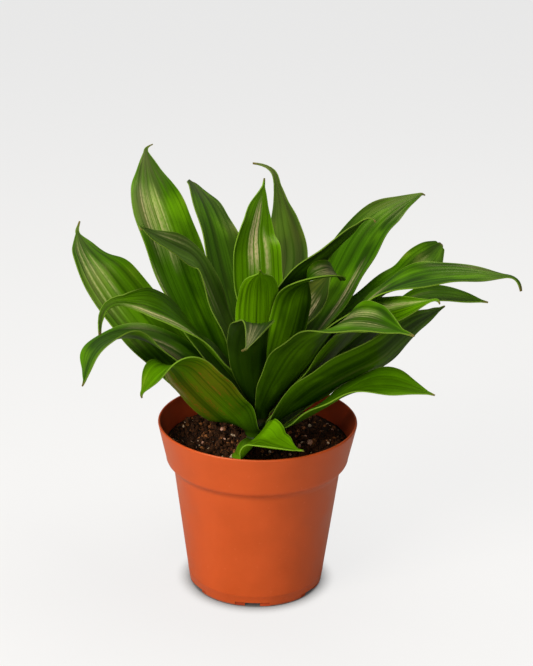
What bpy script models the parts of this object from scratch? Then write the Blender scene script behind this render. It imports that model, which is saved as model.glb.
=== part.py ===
"""Potted dracaena: a nursery pot with feet, its soil, a short cane and a rosette of broad leaves.

The pot stands on its foot ring at z = 0, with its axis on +Z. The viewer's side is -Y.
Lengths in this file are millimetres and angles are degrees; add_node turns them into metres.
A leaf is one midrib walked out from the cane, with a channelled blade swept along it.
"""

from dataclasses import dataclass

import bpy
import bmesh
import numpy as np

MM = 0.001

# Pot
POT_SIDES = 48
POT_HEIGHT = 95.3
RIM_RADIUS = 54.0
RIM_LIP = 1.3
BAND_FOOT_Z = 74.7
BAND_FOOT_RADIUS = 49.7
BODY_TOP_Z = 68.3
BODY_TOP_RADIUS = 45.5
BODY_FOOT_RADIUS = 36.9
BODY_FOOT_Z = 1.8
FOOT_INNER_RADIUS = 32.5
WALL = 1.3
UNDER_FLOOR_Z = 3.0
FLOOR_Z = 4.5
PAD_RADIUS = 12.0

# Openings in the foot ring, each with two set-back feet and a drain slot behind
NOTCHES = 6
NOTCH_TURN = -92.0
NOTCH_WIDTH = 19.0
NOTCH_HEIGHT = 2.7
RECESS_RADII = (35.2, 40.0)
SLOT_WIDTH = 8.2
SLOT_RADII = (FOOT_INNER_RADIUS - 2.0, 40.5)
DRAIN_RADII = (24.0, 30.0)

# Soil
CLEARANCE = 0.3
SOIL_Z = 82.0
SOIL_FOOT_Z = FLOOR_Z + CLEARANCE
SOIL_RELIEF = 0.9
SOIL_LEVEL_NEAR_CANE = 9.0
SOIL_LEVEL_FROM = 51.0
SOIL_LEVEL_NEAR_WALL = 7.0
SOIL_RINGS = 8
SOIL_SIDES = 40

# Cane
CANE_SIDES = 16
CANE_RADIUS = 6.0
CANE_TOP_RADIUS = 3.5
CANE_HEIGHT = 54.0
CANE_DEPTH = 32.0
CANE_RING_STEP = 9.0
CANE_RING_RISE = 0.25
CANE_RING_HALF = 0.8

# Leaf blades
BLADE_THICKNESS = 0.8
BLADE_STATIONS = 14
DRIP_STATIONS = 2
BLADE_STRIPS = 4
WALK_STEPS = 160
SHEATH_PITCH = 86.0
SHEATH_SHARE = 0.045
WAVE_LENGTH = 34.0
WAVE_HEIGHT = 0.8
DRIP_SHARE = 0.16
DRIP_TAPER = 0.7

# Share of the full width against the share of the blade's length, between its foot and its tip,
# and what a wholly blunt leaf has more than that
OUTLINE = ((0.34, 0.92), (0.47, 1.00), (0.57, 1.00), (0.70, 0.92))
POINTED = ((0.82, 0.70), (0.92, 0.36))
BLUNTER = (0.14, 0.30)

POT_COLOUR = (0.60, 0.13, 0.045)
SOIL_COLOUR = (0.030, 0.018, 0.011)
CANE_COLOUR = (0.22, 0.25, 0.08)
LEAF_COLOUR = (0.050, 0.150, 0.008)


@dataclass(frozen=True)
class Leaf:
    """One leaf's habit.

    azimuth, root and length place it: the way it grows out, seen from above and counted from
    +X towards +Y; how high on the cane it sits, above the soil; and its length along the midrib.
    rise is the slope at which it leaves the cane and arch how far that slope falls to the tip.
    fold adds a bend centred at the share fold_at of the length and spread over fold_over of it.
    sweep and hook turn it sideways, evenly and within the fold. lean tilts the blade about its
    midrib, and twist turns it further within the fold. channel and tip_channel are how far the
    margins stand up on each side. drip is the narrow tip's length, with its own drop and turn.
    base is the share of the full width that clasps the cane, and tip the share where the drip
    begins. blunt is how far the blade is filled out towards its tip, from 0 to 1.
    """

    name: str
    azimuth: float
    root: float
    length: float
    width: float
    rise: float
    arch: float = 20.0
    fold: float = 20.0
    fold_at: float = 0.75
    fold_over: float = 0.25
    sweep: float = 0.0
    hook: float = 0.0
    lean: float = 0.0
    twist: float = 0.0
    channel: float = 26.0
    tip_channel: float = 14.0
    drip: float = 8.0
    drip_drop: float = 0.0
    drip_turn: float = 0.0
    base: float = 0.22
    tip: float = 0.08
    blunt: float = 0.0


LEAVES = (
    # Outermost: low leaves that lie out over the rim
    Leaf("leaf_front_short", azimuth=257, root=2, length=72, width=29, rise=19, arch=-24,
         fold=33, fold_at=0.59, fold_over=0.14, sweep=62, hook=15, lean=41, twist=-45,
         channel=8, tip_channel=21, drip=5, drip_drop=-4, drip_turn=-40),
    Leaf("leaf_back_right_low", azimuth=27, root=2, length=106, width=31, rise=37, arch=-9,
         fold=48, channel=30),
    Leaf("leaf_right_low", azimuth=327, root=2, length=112, width=26, rise=34, arch=-14,
         fold=53, fold_at=0.71, fold_over=0.45, sweep=16, hook=-9, lean=1, twist=32,
         channel=27, drip=4, drip_drop=4),
    Leaf("leaf_back_low", azimuth=90, root=4, length=118, width=29, rise=24, arch=34),
    Leaf("leaf_left_turned", azimuth=221, root=5, length=95, width=31, base=0.5, rise=44, arch=-15,
         fold=113, fold_at=0.76, fold_over=0.33, sweep=-25, hook=12, lean=47, twist=-65,
         channel=17, tip_channel=18, drip=4, drip_drop=50),
    Leaf("leaf_right_broad", azimuth=331, root=6, length=144, width=36, rise=46, arch=30,
         fold=10, fold_at=0.56, fold_over=0.18, sweep=7, hook=74, lean=-29, twist=-41,
         channel=25, tip_channel=6, drip=6, drip_drop=12, drip_turn=10),
    Leaf("leaf_back_left_low", azimuth=124, root=7, length=96, width=29, rise=25, arch=33),
    Leaf("leaf_back_right_mid", azimuth=74, root=9, length=111, width=26, rise=34, arch=31),
    Leaf("leaf_left_long", azimuth=175, root=8, length=167, width=34, rise=37, arch=-15,
         fold=39, fold_at=0.72, fold_over=0.28, sweep=-45, hook=-25, lean=-30, twist=43,
         channel=24, tip_channel=8, drip=10, drip_drop=-41, drip_turn=-40),
    Leaf("leaf_right_striped", azimuth=342, root=10, length=137, width=28, rise=49, arch=-15,
         fold=35, fold_at=0.62, fold_over=0.16, sweep=-9, hook=-7, lean=-11, twist=46,
         channel=17, tip_channel=13, drip=9, drip_drop=42, drip_turn=-53),
    Leaf("leaf_back_mid", azimuth=112, root=12, length=121, width=29, rise=42, arch=31),
    # Middle: the long leaves that make the spread
    Leaf("leaf_left_outer_drooping", azimuth=181, root=12, length=140, width=32, rise=51, arch=50,
         fold=27, fold_at=0.64, fold_over=0.54, sweep=21, hook=61, lean=-12, twist=50,
         channel=24, tip_channel=10, drip=5, drip_drop=-5, drip_turn=-9),
    Leaf("leaf_right_level", azimuth=12, root=14, length=147, width=27, rise=42, arch=0,
         fold=38, fold_at=0.71, fold_over=0.35, sweep=-23, hook=-27, lean=-27, twist=44,
         channel=37, tip_channel=8, drip=4, drip_drop=8, drip_turn=17),
    Leaf("leaf_left_tall", azimuth=152, root=16, length=178, width=34, rise=50, arch=-15,
         fold=37, fold_at=0.69, fold_over=0.30, sweep=-45, hook=-12, lean=-6, twist=-2,
         channel=24, tip_channel=13, drip=8, drip_drop=5, drip_turn=-85),
    Leaf("leaf_front_right_arched", azimuth=300, root=16, length=154, width=39, rise=51, arch=-5,
         fold=50, fold_at=0.63, fold_over=0.57, sweep=20, hook=-10, lean=-1, twist=24,
         channel=25, tip_channel=25, drip=9, drip_drop=7),
    Leaf("leaf_right_back", azimuth=23, root=17, length=144, width=29, rise=48, arch=29,
         fold=11, fold_at=0.82, fold_over=0.20, sweep=1, hook=36, lean=-9, twist=50,
         channel=28, tip_channel=15, drip=4, drip_drop=13, drip_turn=30, tip=0.25, blunt=0.7),
    Leaf("leaf_front_dark", azimuth=255, root=20, length=146, width=23, rise=54, arch=29,
         fold=44, fold_at=0.81, fold_over=0.31, sweep=39, hook=-37, lean=1, twist=-11,
         channel=50, tip_channel=10, drip=5, drip_drop=-21, drip_turn=-39),
    Leaf("leaf_left_inner_drooping", azimuth=198, root=24, length=125, width=34, rise=56, arch=24,
         fold=34, fold_at=0.66, fold_over=0.46, sweep=1, hook=14, lean=-2, twist=-61,
         channel=12, drip=26, drip_drop=89, drip_turn=42, tip=0.16),
    Leaf("leaf_right_long", azimuth=343, root=21, length=173, width=34, rise=52, arch=13,
         fold=47, fold_at=0.62, fold_over=0.45, sweep=14, hook=15, lean=-12, twist=23,
         channel=15, tip_channel=6, drip=13, drip_drop=68, drip_turn=-49, tip=0.13),
    Leaf("leaf_back_curled", azimuth=76, root=22, length=162, width=24, rise=38, arch=-3,
         fold=-7, fold_at=0.58, fold_over=0.15, sweep=4, hook=26, lean=-6, twist=-17,
         channel=25, drip=22, drip_drop=41, drip_turn=79, tip=0.16),
    Leaf("leaf_right_high", azimuth=29, root=25, length=159, width=32, rise=48, arch=16,
         fold=21, fold_at=0.75, fold_over=0.40, sweep=50, hook=-40, lean=-9, twist=32,
         channel=10, drip=4, drip_drop=47, drip_turn=-21),
    # Inner: the upright leaves round the top of the cane
    Leaf("leaf_centre_right_folded", azimuth=300, root=24, length=119, width=21, rise=62, arch=-30,
         fold=120, fold_at=0.74, fold_over=0.36, sweep=35, hook=102, lean=-38, twist=73,
         channel=33, tip_channel=35, drip=4, drip_drop=5, tip=0.2, blunt=0.8),
    Leaf("leaf_back_left_upright", azimuth=117, root=27, length=139, width=30, rise=56, arch=3,
         fold=41, fold_over=0.31, sweep=-3, hook=-4, lean=22, twist=11,
         drip=2, drip_drop=49, drip_turn=-14, tip=0.2, blunt=0.8),
    Leaf("leaf_front_bright", azimuth=265, root=31, length=104, width=23, rise=79, arch=29,
         fold_at=0.65, fold_over=0.26, sweep=15, hook=-6, lean=10, twist=-2,
         channel=23, drip=7, drip_drop=4, drip_turn=-5),
    Leaf("leaf_centre_glossy", azimuth=40, root=32, length=73, width=26, rise=56, arch=1,
         fold=7, fold_at=0.52, fold_over=0.27, sweep=-7, hook=-3, lean=-3, twist=22,
         channel=46, drip=4, drip_drop=-31, drip_turn=7),
    Leaf("leaf_back_left_inner", azimuth=159, root=32, length=132, width=21, rise=63, arch=-14,
         fold=41, fold_at=0.57, fold_over=0.14, sweep=26, hook=55, lean=-8, twist=-39,
         channel=29, tip_channel=18, drip=8, drip_drop=49, drip_turn=58),
    Leaf("leaf_right_crested", azimuth=337, root=41, length=120, width=30, rise=77, arch=1,
         fold=29, fold_at=0.40, fold_over=0.24, sweep=-13, hook=12, lean=-14, twist=-2,
         channel=14, tip_channel=19, drip=16, drip_drop=54, drip_turn=-57),
    Leaf("leaf_centre_tall", azimuth=95, root=46, length=102, width=28, rise=87, arch=34,
         fold=15, fold_at=0.64, fold_over=0.16, sweep=15, hook=-28, lean=9, twist=49,
         channel=18, tip_channel=16, drip=5, drip_drop=-38, drip_turn=-9),
)


def add_node(name: str, mesh: bpy.types.Mesh, colour: tuple[float, float, float]) -> bpy.types.Object:
    """Puts a mesh drawn in millimetres into the scene as one node with its own material."""
    for vertex in mesh.vertices:
        vertex.co = vertex.co * MM
    mesh.update()
    material = bpy.data.materials.new(name)
    material.use_nodes = True
    material.node_tree.nodes["Principled BSDF"].inputs["Base Color"].default_value = (*colour, 1.0)
    mesh.materials.append(material)
    node = bpy.data.objects.new(name, mesh)
    bpy.context.scene.collection.objects.link(node)
    return node


def smooth_step(share: np.ndarray | float) -> np.ndarray | float:
    """0 to 1 with level ends."""
    held = np.clip(share, 0.0, 1.0)
    return held * held * (3.0 - 2.0 * held)


def lathe(name: str, profile: list[tuple[float, float]], sides: int) -> bpy.types.Mesh:
    """Turns a closed loop of (radius, z) points about Z; a point on the axis becomes one vertex."""
    turned = bmesh.new()
    angles = np.arange(sides) * 2.0 * np.pi / sides
    rings = []
    for radius, height in profile:
        if radius == 0.0:
            rings.append([turned.verts.new((0.0, 0.0, height))] * sides)
        else:
            rings.append(
                [turned.verts.new((radius * np.cos(a), radius * np.sin(a), height)) for a in angles]
            )
    for lower, upper in zip(rings, rings[1:]):
        for side in range(sides):
            after = (side + 1) % sides
            corners = dict.fromkeys((lower[side], lower[after], upper[after], upper[side]))
            if len(corners) > 2:
                turned.faces.new(corners)
    bmesh.ops.recalc_face_normals(turned, faces=turned.faces)
    mesh = bpy.data.meshes.new(name)
    turned.to_mesh(mesh)
    turned.free()
    return mesh


def add_cutter(
    name: str, width: float, radii: tuple[float, float], heights: tuple[float, float]
) -> bpy.types.Object:
    """One box at each notch, between two radii and two heights, as a hidden Boolean cutter."""
    boxes = bmesh.new()
    for notch in range(NOTCHES):
        turn = np.radians(NOTCH_TURN + notch * 360.0 / NOTCHES)
        outward = np.array((np.cos(turn), np.sin(turn)))
        along = np.array((-outward[1], outward[0]))
        made = bmesh.ops.create_cube(boxes, size=1.0)["verts"]
        for vertex in made:
            radius = radii[1] if vertex.co.x > 0.0 else radii[0]
            side = np.sign(vertex.co.y) * width / 2.0
            height = heights[1] if vertex.co.z > 0.0 else heights[0]
            vertex.co = (*((outward * radius + along * side) * MM), height * MM)
    mesh = bpy.data.meshes.new(name)
    boxes.to_mesh(mesh)
    boxes.free()
    cutter = bpy.data.objects.new(name, mesh)
    cutter.hide_render = True
    cutter.display_type = "WIRE"
    bpy.context.scene.collection.objects.link(cutter)
    return cutter


def wall_radius(height: float) -> float:
    """Outer radius of the pot's plain body at a height."""
    share = (height - BODY_FOOT_Z) / (BODY_TOP_Z - BODY_FOOT_Z)
    return BODY_FOOT_RADIUS + (BODY_TOP_RADIUS - BODY_FOOT_RADIUS) * share


def add_pot() -> None:
    """The thin pot: a band below the rim, a tapered body, a notched foot ring and a central pad."""
    inner_foot = wall_radius(FLOOR_Z) - WALL
    profile = [
        (0.0, 0.0),
        (PAD_RADIUS, 0.0),
        (PAD_RADIUS + 1.5, UNDER_FLOOR_Z),
        (FOOT_INNER_RADIUS - 0.8, UNDER_FLOOR_Z),
        (FOOT_INNER_RADIUS, 0.0),
        (BODY_FOOT_RADIUS - 1.5, 0.0),
        (BODY_FOOT_RADIUS - 0.5, 0.5),
        (BODY_FOOT_RADIUS, BODY_FOOT_Z),
        (BODY_TOP_RADIUS, BODY_TOP_Z),
        (BODY_TOP_RADIUS + 0.9, BODY_TOP_Z + 1.9),
        (BAND_FOOT_RADIUS - 1.3, BAND_FOOT_Z - 2.4),
        (BAND_FOOT_RADIUS, BAND_FOOT_Z),
        (RIM_RADIUS - 0.1, POT_HEIGHT - 1.2),
        (RIM_RADIUS, POT_HEIGHT - 0.5),
        (RIM_RADIUS - 0.4, POT_HEIGHT),
        (RIM_RADIUS - RIM_LIP + 0.3, POT_HEIGHT),
        (RIM_RADIUS - RIM_LIP, POT_HEIGHT - 0.6),
        (BAND_FOOT_RADIUS - WALL, BAND_FOOT_Z + 0.2),
        (BAND_FOOT_RADIUS - WALL - 1.3, BAND_FOOT_Z - 1.9),
        (BODY_TOP_RADIUS - WALL + 0.9, BODY_TOP_Z + 2.7),
        (BODY_TOP_RADIUS - WALL, BODY_TOP_Z + 0.6),
        (inner_foot, FLOOR_Z + 1.2),
        (inner_foot - 1.2, FLOOR_Z),
        (0.0, FLOOR_Z),
    ]
    pot = add_node("pot", lathe("pot", profile, POT_SIDES), POT_COLOUR)
    cutters = (
        add_cutter("notch_recess_cutter", NOTCH_WIDTH, RECESS_RADII, (-2.0, NOTCH_HEIGHT)),
        add_cutter("notch_slot_cutter", SLOT_WIDTH, SLOT_RADII, (-2.5, NOTCH_HEIGHT - 0.2)),
        add_cutter("drain_cutter", SLOT_WIDTH - 0.4, DRAIN_RADII, (1.0, FLOOR_Z + 2.0)),
    )
    for cutter in cutters:
        cut = pot.modifiers.new(cutter.name, "BOOLEAN")
        cut.operation = "DIFFERENCE"
        cut.solver = "EXACT"
        cut.object = cutter


def soil_height(radius: float, angle: float) -> float:
    """The lumpy top of the soil: a few crossing swells that flatten out at the cane and the wall."""
    x = radius * np.cos(angle)
    y = radius * np.sin(angle)
    swell = np.sin(0.21 * x + 0.9) * np.cos(0.17 * y - 0.4)
    lumps = np.sin(0.46 * x - 0.31 * y + 2.0) + np.cos(0.38 * x + 0.52 * y)
    near_cane = smooth_step((radius - CANE_RADIUS) / SOIL_LEVEL_NEAR_CANE)
    near_wall = smooth_step((SOIL_LEVEL_FROM - radius) / SOIL_LEVEL_NEAR_WALL)
    level = near_cane * near_wall
    return SOIL_Z + SOIL_RELIEF * level * (0.6 * swell + 0.35 * lumps)


def add_soil() -> None:
    """The soil fills the pot a little clear of its wall, with a plain hole where the cane stands."""
    hole = CANE_RADIUS + CLEARANCE
    hole_foot = SOIL_Z - CANE_DEPTH - CLEARANCE
    foot = wall_radius(FLOOR_Z) - WALL - CLEARANCE
    shoulder = BODY_TOP_RADIUS - WALL - CLEARANCE
    band_foot = BAND_FOOT_RADIUS - WALL - CLEARANCE
    band_slope = (RIM_RADIUS - RIM_LIP - BAND_FOOT_RADIUS + WALL) / (POT_HEIGHT - BAND_FOOT_Z)
    edge = band_foot + band_slope * (SOIL_Z - BAND_FOOT_Z) - 0.1
    profile = [
        (0.0, hole_foot),
        (hole, hole_foot),
    ]
    profile += [(radius, SOIL_Z) for radius in np.linspace(hole, edge, SOIL_RINGS)]
    profile += [
        (band_foot - 0.1, BAND_FOOT_Z + 0.2),
        (band_foot - 1.5, BAND_FOOT_Z - 1.9),
        (shoulder + 0.6, BODY_TOP_Z + 2.7),
        (shoulder - 0.1, BODY_TOP_Z + 0.6),
        (foot - 0.1, SOIL_FOOT_Z + 1.4),
        (foot - 1.5, SOIL_FOOT_Z),
        (0.0, SOIL_FOOT_Z),
    ]
    mesh = lathe("soil", profile, SOIL_SIDES)
    for vertex in mesh.vertices:
        if abs(vertex.co.z - SOIL_Z) < 0.01:
            radius = np.hypot(vertex.co.x, vertex.co.y)
            vertex.co.z = soil_height(radius, np.arctan2(vertex.co.y, vertex.co.x))
    add_node("soil", mesh, SOIL_COLOUR)


def cane_radius(height: float) -> float:
    """Radius of the cane at a height above the soil."""
    share = min(max(height / CANE_HEIGHT, 0.0), 1.0)
    return CANE_RADIUS + (CANE_TOP_RADIUS - CANE_RADIUS) * share


def add_cane() -> None:
    """The short cane with its leaf-scar rings, from its hole in the soil up through the rosette."""
    profile = [(0.0, SOIL_Z - CANE_DEPTH), (CANE_RADIUS, SOIL_Z - CANE_DEPTH), (CANE_RADIUS, SOIL_Z)]
    for ring in np.arange(0.5, CANE_HEIGHT / CANE_RING_STEP):
        height = ring * CANE_RING_STEP
        radius = cane_radius(height)
        profile += [
            (radius, SOIL_Z + height - CANE_RING_HALF),
            (radius + CANE_RING_RISE, SOIL_Z + height),
            (radius, SOIL_Z + height + CANE_RING_HALF),
        ]
    profile += [(CANE_TOP_RADIUS - 0.8, SOIL_Z + CANE_HEIGHT), (0.0, SOIL_Z + CANE_HEIGHT + 1.0)]
    add_node("cane", lathe("cane", profile, CANE_SIDES), CANE_COLOUR)


def outline_width(leaf: Leaf, share: np.ndarray) -> np.ndarray:
    """Share of the full width along the blade, by a curve that rounds each point of its outline."""
    base = leaf.base
    foot = ((0.0, base), (0.06, max(0.35, base + 0.09)), (0.20, max(0.69, 0.9 * base + 0.42)))
    end = [(place, width + more * leaf.blunt) for (place, width), more in zip(POINTED, BLUNTER)]
    places, widths = np.array([*foot, *OUTLINE, *end, (1.0, leaf.tip)]).T
    steps = np.diff(places)
    slopes = np.diff(widths) / steps
    tangents = np.concatenate((slopes[:1], np.zeros(len(slopes) - 1), slopes[-1:]))
    rising = slopes[:-1] * slopes[1:] > 0.0
    both = slopes[:-1] + slopes[1:]
    tangents[1:-1][rising] = 2.0 * (slopes[:-1] * slopes[1:])[rising] / both[rising]
    held = np.clip(share, 0.0, 1.0)
    span = np.clip(np.searchsorted(places, held, side="right") - 1, 0, len(steps) - 1)
    t = (held - places[span]) / steps[span]
    return (
        (2 * t**3 - 3 * t**2 + 1) * widths[span]
        + (t**3 - 2 * t**2 + t) * steps[span] * tangents[span]
        + (3 * t**2 - 2 * t**3) * widths[span + 1]
        + (t**3 - t**2) * steps[span] * tangents[span + 1]
    )


def stations_of(leaf: Leaf) -> np.ndarray:
    """Where the blade's cross-sections stand: even along the blade, then a few down the drip."""
    blade = 1.0 - leaf.drip / leaf.length
    body = np.linspace(0.0, blade, BLADE_STATIONS + 1)
    tip = np.linspace(blade, 1.0, DRIP_STATIONS + 1)
    return np.concatenate((body, tip[1:]))


def blade_points(leaf: Leaf, stations: np.ndarray, across: np.ndarray) -> np.ndarray:
    """Points of the blade's middle surface, one row for each station; across runs from -1 to 1."""
    s = np.linspace(0.0, 1.0, WALK_STEPS + 1)
    blade = 1.0 - leaf.drip / leaf.length
    folded = smooth_step((s - leaf.fold_at + leaf.fold_over / 2.0) / leaf.fold_over)
    dripped = smooth_step((s - blade) / (1.0 - blade))
    sheath = 1.0 - smooth_step(s / SHEATH_SHARE)
    pitch = leaf.rise - leaf.arch * s**1.3 - leaf.fold * folded - leaf.drip_drop * dripped
    pitch = np.radians(pitch + (SHEATH_PITCH - leaf.rise) * sheath)
    yaw = np.radians(leaf.azimuth + leaf.sweep * s + leaf.hook * folded + leaf.drip_turn * dripped)
    roll = np.radians(leaf.lean * smooth_step(s / 0.22) + leaf.twist * folded)

    heading = np.stack((np.cos(pitch) * np.cos(yaw), np.cos(pitch) * np.sin(yaw), np.sin(pitch)), -1)
    start = cane_radius(leaf.root) + CLEARANCE + BLADE_THICKNESS / 2.0
    way_out = np.radians(leaf.azimuth)
    midrib = np.zeros((WALK_STEPS + 1, 3))
    midrib[0] = (start * np.cos(way_out), start * np.sin(way_out), SOIL_Z + leaf.root)
    steps = (heading[1:] + heading[:-1]) / 2.0 * leaf.length / WALK_STEPS
    midrib[1:] = midrib[0] + np.cumsum(steps, axis=0)

    level = np.stack((-np.sin(yaw), np.cos(yaw), np.zeros_like(yaw)), -1)
    upright = np.cross(heading, level)
    side = level * np.cos(roll)[:, None] + upright * np.sin(roll)[:, None]
    face = upright * np.cos(roll)[:, None] - level * np.sin(roll)[:, None]

    taper = min(leaf.tip, DRIP_SHARE) * (1.0 - DRIP_TAPER * (s - blade) / (1.0 - blade))
    width = leaf.width * np.where(s < blade, outline_width(leaf, s / blade), taper)
    clasp = width / 2.0 * np.sin(np.clip(pitch, 0.2, 1.57)) / np.hypot(midrib[:, 0], midrib[:, 1])
    tip_share = smooth_step((s - 0.55) / 0.4)
    channel = np.radians(leaf.channel + (leaf.tip_channel - leaf.channel) * tip_share)
    opened = smooth_step((s - 0.10) / 0.30)
    bend = np.maximum(clasp * (1.0 - opened) + channel * opened, 0.03)

    def at(values: np.ndarray) -> np.ndarray:
        """Reads values, given along the walk, at the stations."""
        if values.ndim == 1:
            return np.interp(stations, s, values)[:, None, None]
        columns = [np.interp(stations, s, column) for column in values.T]
        return np.stack(columns, -1)[:, None, :]

    u = across[None, :, None]
    radius = at(width) / 2.0 / at(bend)
    points = at(midrib) + at(side) * radius * np.sin(u * at(bend))
    points = points + at(face) * radius * (1.0 - np.cos(u * at(bend)))
    place = stations[:, None, None]
    calm = smooth_step((place - 0.12) / 0.2) * smooth_step((1.0 - place) / 0.15)
    start_of_wave = np.where(u > 0.0, leaf.azimuth * 0.09, leaf.azimuth * 0.13 + 1.9)
    wave = np.sin(2.0 * np.pi * place * leaf.length / WAVE_LENGTH + start_of_wave)
    return points + at(face) * WAVE_HEIGHT * calm * np.abs(u) ** 3 * wave


def add_leaf(leaf: Leaf) -> None:
    """One leaf: a grid laid on the blade's middle surface, split into triangles and thickened."""
    stations = stations_of(leaf)
    across = np.linspace(-1.0, 1.0, BLADE_STRIPS + 1)
    points = blade_points(leaf, stations, across)
    blade = bmesh.new()
    bmesh.ops.create_grid(blade, x_segments=len(stations) - 1, y_segments=BLADE_STRIPS, size=0.5)
    for vertex in blade.verts:
        row = round((vertex.co.x + 0.5) * (len(stations) - 1))
        column = round((vertex.co.y + 0.5) * BLADE_STRIPS)
        vertex.co = points[row, column]
    bmesh.ops.triangulate(blade, faces=blade.faces, quad_method="FIXED")
    mesh = bpy.data.meshes.new(leaf.name)
    blade.to_mesh(mesh)
    blade.free()
    node = add_node(leaf.name, mesh, LEAF_COLOUR)
    thicken = node.modifiers.new("thickness", "SOLIDIFY")
    thicken.thickness = BLADE_THICKNESS * MM
    thicken.offset = 0.0


def main() -> None:
    """Clears the scene and builds the pot, the soil, the cane and every leaf."""
    for startup in list(bpy.data.objects):
        bpy.data.objects.remove(startup, do_unlink=True)
    add_pot()
    add_soil()
    add_cane()
    for leaf in LEAVES:
        add_leaf(leaf)


main()
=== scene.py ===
"""Looks of a potted dracaena: glossy ribbed leaves, a nursery pot and gritty compost.

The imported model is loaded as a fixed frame. Every node of it is shown here by a finer piece that
keeps the node's form, in the same place. Sizes in this file are millimetres and angles are degrees
unless a name says otherwise; Blender's own units are metres, and MM turns one into the other.
"""

from __future__ import annotations

import logging
from dataclasses import dataclass
from enum import Enum

import bmesh
import bpy
import numpy as np
from mathutils import Matrix, Vector

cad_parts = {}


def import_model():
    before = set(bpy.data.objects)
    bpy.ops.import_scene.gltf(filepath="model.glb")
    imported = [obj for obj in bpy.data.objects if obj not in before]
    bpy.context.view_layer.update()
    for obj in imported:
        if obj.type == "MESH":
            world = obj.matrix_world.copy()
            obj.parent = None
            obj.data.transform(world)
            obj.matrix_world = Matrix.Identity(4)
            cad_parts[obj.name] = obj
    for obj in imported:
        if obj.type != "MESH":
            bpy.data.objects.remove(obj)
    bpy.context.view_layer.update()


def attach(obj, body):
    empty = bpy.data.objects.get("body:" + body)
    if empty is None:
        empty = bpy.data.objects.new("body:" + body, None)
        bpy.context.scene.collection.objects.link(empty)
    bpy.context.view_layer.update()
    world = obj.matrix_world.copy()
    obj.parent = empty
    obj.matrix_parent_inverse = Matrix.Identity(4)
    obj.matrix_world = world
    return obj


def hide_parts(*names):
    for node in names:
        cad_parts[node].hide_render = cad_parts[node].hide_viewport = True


Tree = bpy.types.NodeTree
Socket = bpy.types.NodeSocket

LOG = logging.getLogger("dracaena")
MM = 0.001
BODY = "root"
# The soil's level above the ground, and the unit of a blade's UV map
SOIL_LEVEL = 82.0
SKIN_UNIT = 10.0
# Turned pieces keep the edges that are sharper than this
CREASE_ANGLE = 35.0
PHOTO_HEIGHT_PX = 666.0


def linear(code: str) -> tuple[float, float, float, float]:
    """Turns an sRGB hex code into the linear colour that a shader socket takes.

    Args:
        code: Six hex digits, with or without a leading #.

    Returns:
        Red, green and blue as linear light, with alpha 1.
    """
    digits = code.lstrip("#")
    channels = [int(digits[place : place + 2], 16) / 255.0 for place in (0, 2, 4)]
    light = [c / 12.92 if c <= 0.04045 else ((c + 0.055) / 1.055) ** 2.4 for c in channels]
    return (light[0], light[1], light[2], 1.0)


def add_node(
    tree: Tree, kind: str, inputs: dict[str | int, object] | None = None, **settings: object
) -> bpy.types.Node:
    """Adds one shader node, with its settings, its values and its links.

    Args:
        tree: The material's or the world's node tree.
        kind: The node's class name, without the leading ShaderNode.
        inputs: For each socket, by name or number, a value or the output socket that feeds it.
        settings: Attributes of the node, such as operation or blend_type.

    Returns:
        The new node.
    """
    node = tree.nodes.new("ShaderNode" + kind)
    for name, value in settings.items():
        setattr(node, name, value)
    for socket, value in (inputs or {}).items():
        if isinstance(value, Socket):
            tree.links.new(value, node.inputs[socket])
        else:
            node.inputs[socket].default_value = value
    return node


def smooth_step(share: np.ndarray | float) -> np.ndarray | float:
    """Returns 0 to 1 with level ends for a share that may run past either end."""
    held = np.clip(share, 0.0, 1.0)
    return held * held * (3.0 - 2.0 * held)


def grown(share: np.ndarray | float, stretch: tuple[float, float]) -> np.ndarray | float:
    """Returns how far something has grown that starts at stretch[0] and takes stretch[1]."""
    return smooth_step((share - stretch[0]) / stretch[1])


def new_material(name: str) -> tuple[bpy.types.Material, Tree, bpy.types.Node]:
    """Starts a node material.

    Args:
        name: The finish's name.

    Returns:
        The material, its emptied tree and its output node.
    """
    material = bpy.data.materials.new(name)
    material.use_nodes = True
    tree = material.node_tree
    tree.nodes.clear()
    return material, tree, add_node(tree, "OutputMaterial")


def finished(mesh: bpy.types.Mesh, name: str, nodes: tuple[str, ...]) -> bpy.types.Object:
    """Puts a finished mesh into the scene as a piece that rides on the object's one body.

    Args:
        mesh: The mesh, in metres, in its place.
        name: The piece's name.
        nodes: The nodes of the frame that the piece is shown for.

    Returns:
        The new object.
    """
    piece = bpy.data.objects.new(name, mesh)
    bpy.context.scene.collection.objects.link(piece)
    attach(piece, BODY)
    if nodes:
        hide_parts(*nodes)
    LOG.info("%s: %d faces", name, len(mesh.polygons))
    return piece


def evaluated_mesh(piece: bpy.types.Object) -> bpy.types.Mesh:
    """Applies a scratch object's modifiers.

    Args:
        piece: An object in the scene, which is removed afterwards.

    Returns:
        The mesh with its modifiers applied.
    """
    graph = bpy.context.evaluated_depsgraph_get()
    mesh = bpy.data.meshes.new_from_object(piece.evaluated_get(graph), depsgraph=graph)
    bpy.data.objects.remove(piece, do_unlink=True)
    return mesh


class Side(Enum):
    """The faces of a leaf blade, by the number of their material slot."""

    UPPER = 0
    LOWER = 1


class Layer(Enum):
    """What a blade's mesh tells its skin at each point, by the name of the attribute."""

    EDGE = "edge"
    SPAN = "span"
    AGE = "age"
    DULL = "dull"
    HIGHLIGHT_ABOVE = "pale_above"
    HIGHLIGHT_BELOW = "pale_below"
    STAIN = "stain"


class Rise(Enum):
    """How a mask rises between its two ends."""

    SOFT = "SMOOTHSTEP"
    EVEN = "LINEAR"


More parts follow.
